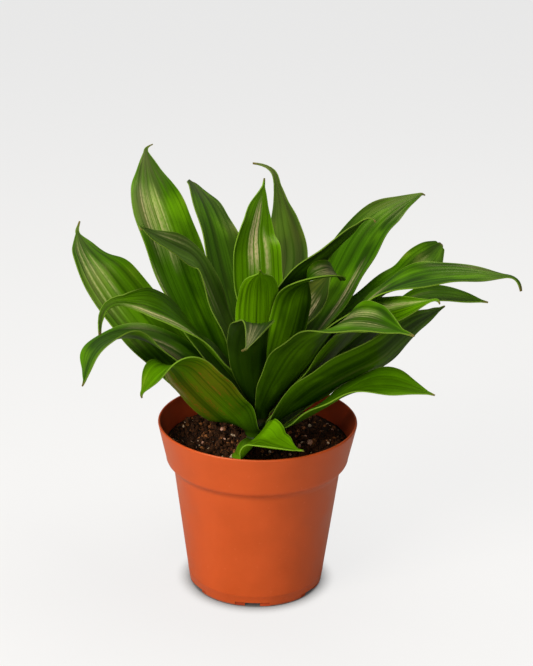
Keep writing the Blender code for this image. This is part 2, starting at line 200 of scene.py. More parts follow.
@dataclass(frozen=True)
class Mask:
    """A share read off a pattern: low up to start, high from end, and rising between them."""

    pattern: Socket
    start: float
    end: float
    low: float = 0.0
    high: float = 1.0
    rise: Rise = Rise.SOFT

    def share(self, tree: Tree) -> Socket:
        """Adds the mask to a finish.

        Args:
            tree: The finish's node tree.

        Returns:
            The share at each place.
        """
        inputs = {"Value": self.pattern, "From Min": self.start, "From Max": self.end}
        inputs.update({"To Min": self.low, "To Max": self.high})
        return add_node(tree, "MapRange", inputs, interpolation_type=self.rise.value).outputs[0]


@dataclass(frozen=True)
class Wash:
    """A wash of colour, laid as thickly as all its masks, or plain shares, let it be."""

    colour: str
    masks: tuple[Mask | Socket, ...]


def washed(tree: Tree, base: str, washes: tuple[Wash, ...]) -> Socket:
    """Lays washes of colour one over another.

    Args:
        tree: The finish's node tree.
        base: The colour under them all.
        washes: The washes, from the lowest up.

    Returns:
        The colour that shows.
    """
    colour = linear(base)
    for wash in washes:
        shares = [mask.share(tree) if isinstance(mask, Mask) else mask for mask in wash.masks]
        share = shares[0]
        for other in shares[1:]:
            share = add_node(tree, "Math", {0: share, 1: other}, operation="MULTIPLY").outputs[0]
        inputs = {"Fac": share, "Color1": colour, "Color2": linear(wash.colour)}
        colour = add_node(tree, "MixRGB", inputs).outputs[0]
    return colour


def grained(tree: Tree, place: Socket, scale: tuple[float, float, float], octaves: float) -> Socket:
    """Draws a cloudy grain over a surface, drawn out along the axes with the smaller scales.

    Args:
        tree: The finish's node tree.
        place: The place on the surface, in metres or in a blade's units of 10 mm.
        scale: Changes in each unit along each axis.
        octaves: Octaves of finer grain.

    Returns:
        The grain, mostly between 0.3 and 0.7.
    """
    drawn = add_node(tree, "Mapping", {"Vector": place, "Scale": scale}).outputs[0]
    inputs = {"Vector": drawn, "Scale": 1.0, "Detail": octaves}
    return add_node(tree, "TexNoise", inputs).outputs["Fac"]


@dataclass(frozen=True)
class LeafCuticle:
    """The waxy upper skin of a leaf: saturated green, ribbed lengthwise, with a satin gloss."""

    name: str = "dracaena_leaf_upper"
    highlight_layer: Layer = Layer.HIGHLIGHT_ABOVE
    darkest_green_and_base_shade: str = "#0E2203"
    deep: str = "#163401"
    lit: str = "#356202"
    young: str = "#6CA805"
    # pale is the colour of the painted highlights, streaks that stand for light reflected off the glossy skin
    pale: str = "#C8BC90"
    dull: str = "#4A5230"
    stain: str = "#80521A"
    olive: str = "#5E5A10"
    margin: str = "#7FA03A"
    dry_tip: str = "#6E5C38"
    glow: str = "#6FA006"
    gloss_tint: str = "#E4DC58"
    ior: float = 1.32
    roughness: float = 0.36
    glow_tint: float = 0.5
    glow_share: float = 0.14
    young_glow_share: float = 0.25
    rib_bump: float = 0.07

    def build(self) -> bpy.types.Material:
        """Builds the skin, on its piece's layers and its UV map in units of 10 mm.

        Returns:
            The material.
        """
        material, tree, output = new_material(self.name)
        place = add_node(tree, "UVMap", uv_map="blade").outputs["UV"]
        age, dull, edge, span, stain, pale = (
            add_node(tree, "Attribute", attribute_name=layer.value).outputs["Fac"]
            for layer in (Layer.AGE, Layer.DULL, Layer.EDGE, Layer.SPAN, Layer.STAIN, self.highlight_layer)
        )
        # Fine ribs 0.8 mm apart and main ribs 1.7 mm apart, stripes of painted light and shade 5 mm apart,
        # and patches of 15 mm
        fine_ribs = grained(tree, place, (12.0, 0.05, 1.0), 0.0)
        ribs = grained(tree, place, (6.0, 0.06, 1.0), 1.0)
        painted_light_bands = grained(tree, place, (2.0, 0.05, 1.0), 1.0)
        patches = grained(tree, place, (0.7, 0.3, 1.0), 2.0)
        specks = grained(tree, place, (14.0, 4.0, 1.0), 2.0)
        # Both kinds of rib, and specks under a millimetre across, break up the painted highlights
        broken = (
            Mask(ribs, 0.40, 0.56, 0.12, 1.0),
            Mask(fine_ribs, 0.36, 0.60, 0.35, 1.0),
            Mask(specks, 0.34, 0.56, 0.45, 1.0),
        )
        washes = (
            # Painted light and shade: the lit green in stripes 5 mm apart stands for the light on the blade's
            # shallow corrugations
            Wash(self.lit, (Mask(painted_light_bands, 0.34, 0.66),)),
            Wash(self.lit, (Mask(patches, 0.3, 0.75, 0.0, 0.5),)),
            Wash(self.young, (Mask(patches, 0.48, 0.72, 0.0, 0.35),)),
            Wash(self.young, (Mask(age, 0.0, 1.0),)),
            Wash(self.darkest_green_and_base_shade, (Mask(age, 0.0, -1.0),)),
            Wash(self.olive, (stain, Mask(patches, 0.36, 0.6, 0.1, 0.75))),
            # Dull, greyed leaves; then the darker ribs over both
            Wash(self.dull, (dull,)),
            Wash(self.deep, (Mask(ribs, 0.50, 0.34, 0.0, 0.50),)),
            Wash(self.deep, (Mask(fine_ribs, 0.44, 0.26, 0.0, 0.35),)),
            # Painted highlight: pale streaks, where the leaf has them, stand for light reflected off its
            # gloss
            Wash(self.pale, (pale, *broken)),
            # Painted shade: the blade darkens towards its foot, where the leaves crowd round the cane
            Wash(self.darkest_green_and_base_shade, (Mask(span, 0.30, 0.02, 0.0, 0.7),)),
            # Brown flecks, only where the leaf has them
            Wash(self.stain, (stain, Mask(ribs, 0.55, 0.64), Mask(specks, 0.46, 0.60))),
            # The light line along the margin, under half a millimetre wide, and the dry tip
            Wash(self.margin, (Mask(edge, 0.34, 0.06, 0.0, 0.55),)),
            Wash(self.dry_tip, (Mask(span, 0.97, 1.0, 0.0, 0.8),)),
        )
        green = washed(tree, self.deep, washes)
        relief = {"Strength": 1.0, "Distance": self.rib_bump * MM, "Height": ribs}
        bump = add_node(tree, "Bump", relief).outputs[0]
        inputs = {
            "Base Color": green,
            "Roughness": Mask(ribs, 0.3, 0.7, self.roughness - 0.05, self.roughness + 0.08).share(tree),
            "Normal": bump,
            "IOR": self.ior,
            "Specular Tint": linear(self.gloss_tint),
        }
        skin = add_node(tree, "BsdfPrincipled", inputs).outputs[0]
        # The light that comes through the blade, more of it in a young one
        through = {"Fac": self.glow_tint, "Color1": green, "Color2": linear(self.glow)}
        through_colour = add_node(tree, "MixRGB", through).outputs[0]
        glow = add_node(tree, "BsdfTranslucent", {"Color": through_colour, "Normal": bump}).outputs[0]
        glow_share = Mask(age, 0.0, 1.0, self.glow_share, self.young_glow_share).share(tree)
        mixed = add_node(tree, "MixShader", {0: glow_share, 1: skin, 2: glow}).outputs[0]
        tree.links.new(mixed, output.inputs["Surface"])
        return material


@dataclass(frozen=True)
class LeafUnderside(LeafCuticle):
    """The duller lower skin of a leaf, on which the ribs stand out as darker lines."""

    name: str = "dracaena_leaf_lower"
    highlight_layer: Layer = Layer.HIGHLIGHT_BELOW
    deep: str = "#193502"
    lit: str = "#416A03"
    young: str = "#6CA606"
    # pale is the colour of the painted highlights on the lower side
    pale: str = "#A89C6C"
    ior: float = 1.12
    roughness: float = 0.48
    glow_share: float = 0.20
    rib_bump: float = 0.10


@dataclass(frozen=True)
class MouldedPolypropylene:
    """Injection-moulded, terracotta-coloured polypropylene: satin, faintly mottled and scuffed."""

    name: str = "polypropylene_terracotta"
    body: str = "#B54B1D"
    shade: str = "#AD471A"
    scuff: str = "#CC6C44"
    sheen: str = "#F4CCB4"
    roughness: float = 0.42

    def build(self) -> bpy.types.Material:
        """Builds the plastic's material.

        Returns:
            The material.
        """
        material, tree, output = new_material(self.name)
        place = add_node(tree, "TexCoord").outputs["Object"]
        # A mottle of 18 mm, rubbed specks of about 1 mm where pots have been stacked, and a grain of 1 mm
        mottle = grained(tree, place, (55.0, 55.0, 55.0), 3.0)
        specks = grained(tree, place, (420.0, 420.0, 420.0), 2.0)
        grain = grained(tree, place, (900.0, 900.0, 900.0), 2.0)
        cloudy = Mask(mottle, 0.35, 0.65, rise=Rise.EVEN).share(tree)
        rubbed = Mask(specks, 0.67, 0.8, 0.0, 0.25, Rise.EVEN)
        gloss = Mask(cloudy, 0.0, 1.0, self.roughness - 0.04, self.roughness + 0.06, Rise.EVEN)
        relief = {"Strength": 0.35, "Distance": 0.05 * MM, "Height": grain}
        inputs = {
            "Base Color": washed(tree, self.shade, (Wash(self.body, (cloudy,)), Wash(self.scuff, (rubbed,)))),
            "Roughness": gloss.share(tree),
            "Normal": add_node(tree, "Bump", relief).outputs[0],
            "IOR": 1.49,
            "Specular Tint": linear(self.sheen),
            "Subsurface Weight": 0.08,
            "Subsurface Radius": (2.0 * MM, 0.7 * MM, 0.4 * MM),
            "Subsurface Scale": 1.0,
        }
        skin = add_node(tree, "BsdfPrincipled", inputs).outputs[0]
        tree.links.new(skin, output.inputs["Surface"])
        return material


@dataclass(frozen=True)
class ShadedPolypropylene(MouldedPolypropylene):
    """The same plastic, duller and darker: painted shade for the inside of the pot and the set-back feet in
    its notches.
    """

    name: str = "polypropylene_painted_shade"
    body: str = "#A83E18"
    shade: str = "#8C3012"
    scuff: str = "#4A2014"
    roughness: float = 0.6


@dataclass(frozen=True)
class Crumb:
    """One kind of compost crumb: damp peat, bark or pale grit, each dull and rough."""

    name: str
    dark: str
    light: str
    roughness: float = 0.85
    grain_per_m: float = 900.0

    def build(self) -> bpy.types.Material:
        """Builds the crumb's material.

        Returns:
            The material.
        """
        material, tree, output = new_material(self.name)
        place = add_node(tree, "TexCoord").outputs["Object"]
        grain = grained(tree, place, (self.grain_per_m,) * 3, 4.0)
        spotted = Mask(grain, 0.35, 0.68, rise=Rise.EVEN)
        relief = {"Strength": 0.7, "Distance": 0.3 * MM, "Height": grain}
        inputs = {
            "Base Color": washed(tree, self.dark, (Wash(self.light, (spotted,)),)),
            "Roughness": self.roughness,
            "Normal": add_node(tree, "Bump", relief).outputs[0],
            "IOR": 1.3,
        }
        skin = add_node(tree, "BsdfPrincipled", inputs).outputs[0]
        tree.links.new(skin, output.inputs["Surface"])
        return material


@dataclass(frozen=True)
class SheathedCane:
    """The cane's green skin under its leaf sheaths, satin and fibrous, with tan scar rings."""

    name: str = "dracaena_cane"
    green: str = "#22380E"
    scar: str = "#45461E"

    def build(self) -> bpy.types.Material:
        """Builds the cane's material.

        Returns:
            The material.
        """
        material, tree, output = new_material(self.name)
        place = add_node(tree, "TexCoord").outputs["Object"]
        # Fibres 2 mm apart run up the cane, and rings 3 mm apart run round it
        fibre = grained(tree, place, (500.0, 500.0, 40.0), 3.0)
        ringed = Mask(grained(tree, place, (30.0, 30.0, 330.0), 1.0), 0.5, 0.65, rise=Rise.EVEN)
        relief = {"Strength": 0.5, "Distance": 0.2 * MM, "Height": fibre}
        inputs = {
            "Base Color": washed(tree, self.green, (Wash(self.scar, (ringed,)),)),
            "Roughness": 0.5,
            "Normal": add_node(tree, "Bump", relief).outputs[0],
            "IOR": 1.45,
        }
        skin = add_node(tree, "BsdfPrincipled", inputs).outputs[0]
        tree.links.new(skin, output.inputs["Surface"])
        return material


@dataclass(frozen=True)
class HighlightBand:
    """A painted highlight along a blade: a pale streak that stands for light reflected off its gloss.

    across is its middle, from -1 at the margin on the leaf's right to 1 at the one on its left,
    seen from above and from its foot. reach is half its width, on the same scale. It runs from
    start to end, as shares of the length. share is how pale it is, and side the face that has it.
    edge_slope is how steeply it pales inwards from its sides, and fade_share the share of its own
    length over which each end fades.
    """

    across: float
    reach: float
    start: float
    end: float
    share: float = 0.8
    side: Side = Side.UPPER
    edge_slope: float = 1.5
    fade_share: float = 0.35

    def share_at(self, across: float, span: float) -> float:
        """Gives how pale the band makes one place.

        Args:
            across: The place across the blade, from -1 to 1.
            span: The place along it, from 0 to 1.

        Returns:
            The share of pale colour.
        """
        side = smooth_step(self.edge_slope * (1.0 - abs(across - self.across) / self.reach))
        fade = self.fade_share * (self.end - self.start)
        length = smooth_step((span - self.start) / fade) * smooth_step((self.end - span) / fade)
        return float(self.share * side * length)


@dataclass(frozen=True)
class Leaf:
    """One leaf's habit, in the same terms as the solid that it is shown for.

    azimuth, root and length place it: the way it grows out, seen from above and counted from
    +X towards +Y; how high on the cane it sits, above the soil; and its length along the midrib.
    rise is the slope at which it leaves the cane and arch how far that slope falls to the tip.
    fold adds a bend centred at the share fold_at of the length and spread over fold_over of it.
    sweep and hook turn it sideways, evenly and within the fold. lean tilts the blade about its
    midrib, and twist turns it further within the fold. channel and tip_channel are how far the
    margins stand up on each side. drip is the narrow tip's length, with its own drop and turn.
    base is the share of the full width that clasps the cane, and tip the share where the drip
    begins. blunt is how far the blade is filled out towards its tip, from 0 to 1. age is the share
    of young, yellow-green colour in it or, below 0, of the oldest, darkest green. dull is the share
    of grey, grey_tip the same at the tip alone, and stain that of brown, which fades towards both
    ends; painted_light_bands are painted highlights, pale streaks that stand for light reflected off the
    gloss.
    """

    name: str
    azimuth: float
    root: float
    length: float
    width: float
    rise: float
    arch: float = 20.0
    fold: float = 20.0
    fold_at: float = 0.75
    fold_over: float = 0.25
    sweep: float = 0.0
    hook: float = 0.0
    lean: float = 0.0
    twist: float = 0.0
    channel: float = 26.0
    tip_channel: float = 14.0
    drip: float = 8.0
    drip_drop: float = 0.0
    drip_turn: float = 0.0
    base: float = 0.22
    tip: float = 0.08
    blunt: float = 0.0
    age: float = 0.2
    dull: float = 0.0
    grey_tip: float = 0.0
    stain: float = 0.0
    painted_light_bands: tuple[HighlightBand, ...] = ()


@dataclass(frozen=True)
class Blade:
    """How every blade is built up from its leaf's habit.

    A pair of shares, as in lean_rise, says where along the blade something starts to grow, and over
    how much of its length it grows; clearing says where staining ends. outline and pointed give the
    width at shares of the length, and blunter is what a fully blunt leaf adds to pointed.
    """

    thickness: float = 0.62
    margin_crease: float = 60.0
    stations: int = 84
    drip_stations: int = 8
    strips: int = 32
    walk_steps: int = 320
    clearance: float = 0.3
    solid_thickness: float = 0.8
    sheath_pitch: float = 86.0
    sheath_share: float = 0.045
    arch_power: float = 1.3
    lean_rise: tuple[float, float] = (0.0, 0.22)
    opening: tuple[float, float] = (0.10, 0.30)
    flattening: tuple[float, float] = (0.55, 0.4)
    least_bend: float = 0.03
    greying: tuple[float, float] = (0.74, 0.2)
    grey_fade: float = 0.7
    staining: tuple[float, float] = (0.15, 0.2)
    clearing: tuple[float, float] = (0.75, 0.15)
    wave_length: float = 34.0
    wave_height: float = 0.8
    wave_rise: tuple[float, float] = (0.12, 0.2)
    wave_end: float = 0.15
    drip_share: float = 0.16
    drip_taper: float = 0.7
    rib_spacing: float = 4.6
    rib_height: float = 0.07
    rib_start: float = 0.1
    rib_end: float = 0.2
    outline: tuple[tuple[float, float], ...] = ((0.34, 0.92), (0.47, 1.00), (0.57, 1.00), (0.70, 0.92))
    pointed: tuple[tuple[float, float], ...] = ((0.82, 0.70), (0.92, 0.36))
    blunter: tuple[float, ...] = (0.14, 0.30)

    def outline_width(self, leaf: Leaf, share: np.ndarray) -> np.ndarray:
        """Gives the blade's width along it, by a curve that rounds each point of its outline.

        Args:
            leaf: The leaf's habit.
            share: Shares of the blade's length.

        Returns:
            Shares of the full width.
        """
        base = leaf.base
        # The foot widens from the clasp, and a broad clasp keeps it broad
        foot = ((0.0, base), (0.06, max(0.35, base + 0.09)), (0.20, max(0.69, 0.9 * base + 0.42)))
        end = [(place, width + more * leaf.blunt) for (place, width), more in zip(self.pointed, self.blunter)]
        places, widths = np.array([*foot, *self.outline, *end, (1.0, leaf.tip)]).T
        steps = np.diff(places)
        slopes = np.diff(widths) / steps
        tangents = np.concatenate((slopes[:1], np.zeros(len(slopes) - 1), slopes[-1:]))
        rising = slopes[:-1] * slopes[1:] > 0.0
        tangents[1:-1][rising] = 2.0 * (slopes[:-1] * slopes[1:])[rising] / (slopes[:-1] + slopes[1:])[rising]
        held = np.clip(share, 0.0, 1.0)
        span = np.clip(np.searchsorted(places, held, side="right") - 1, 0, len(steps) - 1)
        t = (held - places[span]) / steps[span]
        return (
            (2 * t**3 - 3 * t**2 + 1) * widths[span]
            + (t**3 - 2 * t**2 + t) * steps[span] * tangents[span]
            + (3 * t**2 - 2 * t**3) * widths[span + 1]
            + (t**3 - t**2) * steps[span] * tangents[span + 1]
        )

    def surface(
        self, leaf: Leaf, stations: np.ndarray, across: np.ndarray
    ) -> tuple[np.ndarray, np.ndarray]:
        """Lays out the blade's middle surface.

        Args:
            leaf: The leaf's habit.
            stations: Shares of the length, one for each cross-section.
            across: Places across the blade, from -1 to 1.

        Returns:
            Points in mm, one row for each station, and the blade's width at each station.
        """
        s = np.linspace(0.0, 1.0, self.walk_steps + 1)
        blade = 1.0 - leaf.drip / leaf.length
        folded = smooth_step((s - leaf.fold_at + leaf.fold_over / 2.0) / leaf.fold_over)
        dripped = smooth_step((s - blade) / (1.0 - blade))
        sheath = 1.0 - smooth_step(s / self.sheath_share)
        pitch = leaf.rise - leaf.arch * s**self.arch_power - leaf.fold * folded - leaf.drip_drop * dripped
        pitch = np.radians(pitch + (self.sheath_pitch - leaf.rise) * sheath)
        yaw = np.radians(leaf.azimuth + leaf.sweep * s + leaf.hook * folded + leaf.drip_turn * dripped)
        roll = np.radians(leaf.lean * grown(s, self.lean_rise) + leaf.twist * folded)

        # The midrib walks out from the cane along its heading
        heading = np.stack((np.cos(pitch) * np.cos(yaw), np.cos(pitch) * np.sin(yaw), np.sin(pitch)), -1)
        start = Cane().radius_at(leaf.root) + self.clearance + self.solid_thickness / 2.0
        way_out = np.radians(leaf.azimuth)
        midrib = np.zeros((self.walk_steps + 1, 3))
        midrib[0] = (start * np.cos(way_out), start * np.sin(way_out), SOIL_LEVEL + leaf.root)
        steps = (heading[1:] + heading[:-1]) / 2.0 * leaf.length / self.walk_steps
        midrib[1:] = midrib[0] + np.cumsum(steps, axis=0)

        level = np.stack((-np.sin(yaw), np.cos(yaw), np.zeros_like(yaw)), -1)
        upright = np.cross(heading, level)
        side = level * np.cos(roll)[:, None] + upright * np.sin(roll)[:, None]
        face = upright * np.cos(roll)[:, None] - level * np.sin(roll)[:, None]

        taper = min(leaf.tip, self.drip_share) * (1.0 - self.drip_taper * (s - blade) / (1.0 - blade))
        width = leaf.width * np.where(s < blade, self.outline_width(leaf, s / blade), taper)
        clasp = width / 2.0 * np.sin(np.clip(pitch, 0.2, 1.57)) / np.hypot(midrib[:, 0], midrib[:, 1])
        flattened = (leaf.tip_channel - leaf.channel) * grown(s, self.flattening)
        channel = np.radians(leaf.channel + flattened)
        opened = grown(s, self.opening)
        bend = np.maximum(clasp * (1.0 - opened) + channel * opened, self.least_bend)

        def at(values: np.ndarray) -> np.ndarray:
            """Reads values at the stations.

            Args:
                values: Numbers or vectors, one for each step of the walk.

            Returns:
                The same at each station, shaped to combine with places across the blade.
            """
            if values.ndim == 1:
                return np.interp(stations, s, values)[:, None, None]
            columns = [np.interp(stations, s, column) for column in values.T]
            return np.stack(columns, -1)[:, None, :]

        # Each cross-section is an arc, whose bend grows from the clasp to the open channel
        u = across[None, :, None]
        radius = at(width) / 2.0 / at(bend)
        points = at(midrib) + at(side) * radius * np.sin(u * at(bend))
        points = points + at(face) * radius * (1.0 - np.cos(u * at(bend)))
        # The margins wave, and shallow ribs run the whole length
        place = stations[:, None, None]
        calm = grown(place, self.wave_rise) * smooth_step((1.0 - place) / self.wave_end)
        start_of_wave = np.where(u > 0.0, leaf.azimuth * 0.09, leaf.azimuth * 0.13 + 1.9)
        wave = np.sin(2.0 * np.pi * place * leaf.length / self.wave_length + start_of_wave)
        lift = self.wave_height * calm * np.abs(u) ** 3 * wave
        ribs = np.cos(np.pi * u * leaf.width / self.rib_spacing + 0.6 * np.sin(9.0 * place + leaf.root))
        ribs = ribs + 0.5 * np.cos(1.7 * np.pi * u * leaf.width / self.rib_spacing + leaf.azimuth)
        ribs = ribs * smooth_step(place / self.rib_start) * smooth_step((1.0 - place) / self.rib_end)
        lift = lift + self.rib_height * ribs
        return points + at(face) * lift, at(width)[:, 0, 0]

    def build(self, leaf: Leaf, skins: list[bpy.types.Material]) -> bpy.types.Object:
        """Builds one leaf: a grid laid on the middle surface, with attributes, then thickened.

        Args:
            leaf: The leaf's habit.
            skins: The materials of the upper and the lower side.

        Returns:
            The leaf's object.
        """
        blade = 1.0 - leaf.drip / leaf.length
        body = np.linspace(0.0, blade, self.stations + 1)
        tip = np.linspace(blade, 1.0, self.drip_stations + 1)
        stations = np.concatenate((body, tip[1:]))
        across = np.linspace(-1.0, 1.0, self.strips + 1)
        points, widths = self.surface(leaf, stations, across)

        sheet = bmesh.new()
        bmesh.ops.create_grid(sheet, x_segments=len(stations) - 1, y_segments=self.strips, size=0.5)
        layers = {layer: sheet.verts.layers.float.new(layer.value) for layer in Layer}
        uv = sheet.loops.layers.uv.new("blade")
        # Each leaf lies at its own place in the skin's patterns
        seed = leaf.azimuth * 0.37 + leaf.root * 1.9
        flat = {}
        for vertex in sheet.verts:
            row = round((vertex.co.x + 0.5) * (len(stations) - 1))
            column = round((vertex.co.y + 0.5) * self.strips)
            half, span, u = widths[row] / 2.0, stations[row], across[column]
            vertex.co = points[row, column] * MM
            vertex[layers[Layer.EDGE]] = half * (1.0 - abs(u))
            vertex[layers[Layer.SPAN]] = span
            vertex[layers[Layer.AGE]] = leaf.age
            grey = leaf.grey_tip * float(grown(span, self.greying))
            vertex[layers[Layer.DULL]] = max(leaf.dull, grey * (1.0 - self.grey_fade * abs(u)))
            stained = grown(span, self.staining) * smooth_step((self.clearing[0] - span) / self.clearing[1])
            vertex[layers[Layer.STAIN]] = leaf.stain * float(stained)
            # The painted highlights, each on the side of the blade that it is painted on
            for side, layer in ((Side.UPPER, Layer.HIGHLIGHT_ABOVE), (Side.LOWER, Layer.HIGHLIGHT_BELOW)):
                shares = [band.share_at(u, span) for band in leaf.painted_light_bands if band.side is side]
                vertex[layers[layer]] = max(shares, default=0.0)
            # The ribs keep their number across the blade, so they close in towards both ends
            across_mm, along_mm = u * leaf.width / 2.0, span * leaf.length
            flat[vertex.index] = (across_mm / SKIN_UNIT + seed, along_mm / SKIN_UNIT + seed)
        for face in sheet.faces:
            face.smooth = True
            for loop in face.loops:
                loop[uv].uv = flat[loop.vert.index]
        mesh = bpy.data.meshes.new(leaf.name + "_blade")
        sheet.to_mesh(mesh)
        sheet.free()
        for skin in skins:
            mesh.materials.append(skin)
        scratch = bpy.data.objects.new(leaf.name + "_scratch", mesh)
        bpy.context.scene.collection.objects.link(scratch)
        thicken = scratch.modifiers.new("thickness", "SOLIDIFY")
        thicken.thickness = self.thickness * MM
        thicken.offset = 0.0
        thicken.material_offset = Side.LOWER.value
        thicken.material_offset_rim = Side.LOWER.value
        solid = evaluated_mesh(scratch)
        solid.set_sharp_from_angle(angle=np.radians(self.margin_crease))
        return finished(solid, leaf.name + "_fine", (leaf.name,))


@dataclass(frozen=True)
class Cane:
    """The short cane with its leaf-scar rings."""

    radius: float = 6.0
    top_radius: float = 3.5
    height: float = 54.0
    depth: float = 32.0
    ring_step: float = 4.5
    ring_rise: float = 0.25
    ring_foot: float = 0.9
    ring_lip: float = 0.4
    bevel: float = 0.8
    crown: float = 1.0
    sides: int = 64

    def radius_at(self, height: float) -> float:
        """Returns the cane's radius at a height above the soil."""
        share = min(max(height / self.height, 0.0), 1.0)
        return self.radius + (self.top_radius - self.radius) * share

    def build(self) -> bpy.types.Object:
        """Turns the cane's profile about its axis.

        Returns:
            The cane's object.
        """
        profile = [(0.0, -self.depth), (self.radius, -self.depth), (self.radius, 0.0)]
        for ring in np.arange(0.5, self.height / self.ring_step):
            height = ring * self.ring_step
            radius = self.radius_at(height)
            profile += [(radius, height - self.ring_foot), (radius + self.ring_rise, height)]
            profile += [(radius, height + self.ring_lip)]
        profile += [(self.top_radius - self.bevel, self.height), (0.0, self.height + self.crown)]
        mesh = turned("cane", [(r, z + SOIL_LEVEL) for r, z in profile], self.sides)
        mesh.materials.append(SheathedCane().build())
        return finished(mesh, "cane_fine", ("cane",))


def turned(name: str, profile: list[tuple[float, float]], sides: int) -> bpy.types.Mesh:
    """Spins a profile about Z into a closed, smooth mesh.

    Args:
        name: The mesh's name.
        profile: Points of radius and height in mm, from the axis round to the axis or closed.
        sides: Steps of the full turn.

    Returns:
        The mesh, in metres, facing out.
    """
    spun = bmesh.new()
    points = [spun.verts.new((radius * MM, 0.0, height * MM)) for radius, height in profile]
    edges = [spun.edges.new(pair) for pair in zip(points, points[1:])]
    bmesh.ops.spin(
        spun, geom=points + edges, cent=(0.0, 0.0, 0.0), axis=(0.0, 0.0, 1.0),
        angle=2.0 * np.pi, steps=sides, use_merge=True, use_duplicate=False,
    )
    # The points on the axis become one at each pole
    bmesh.ops.remove_doubles(spun, verts=spun.verts, dist=0.002 * MM)
    bmesh.ops.recalc_face_normals(spun, faces=spun.faces)
    for face in spun.faces:
        face.smooth = True
    mesh = bpy.data.meshes.new(name)
    spun.to_mesh(mesh)
    spun.free()
    mesh.set_sharp_from_angle(angle=np.radians(CREASE_ANGLE))
    return mesh


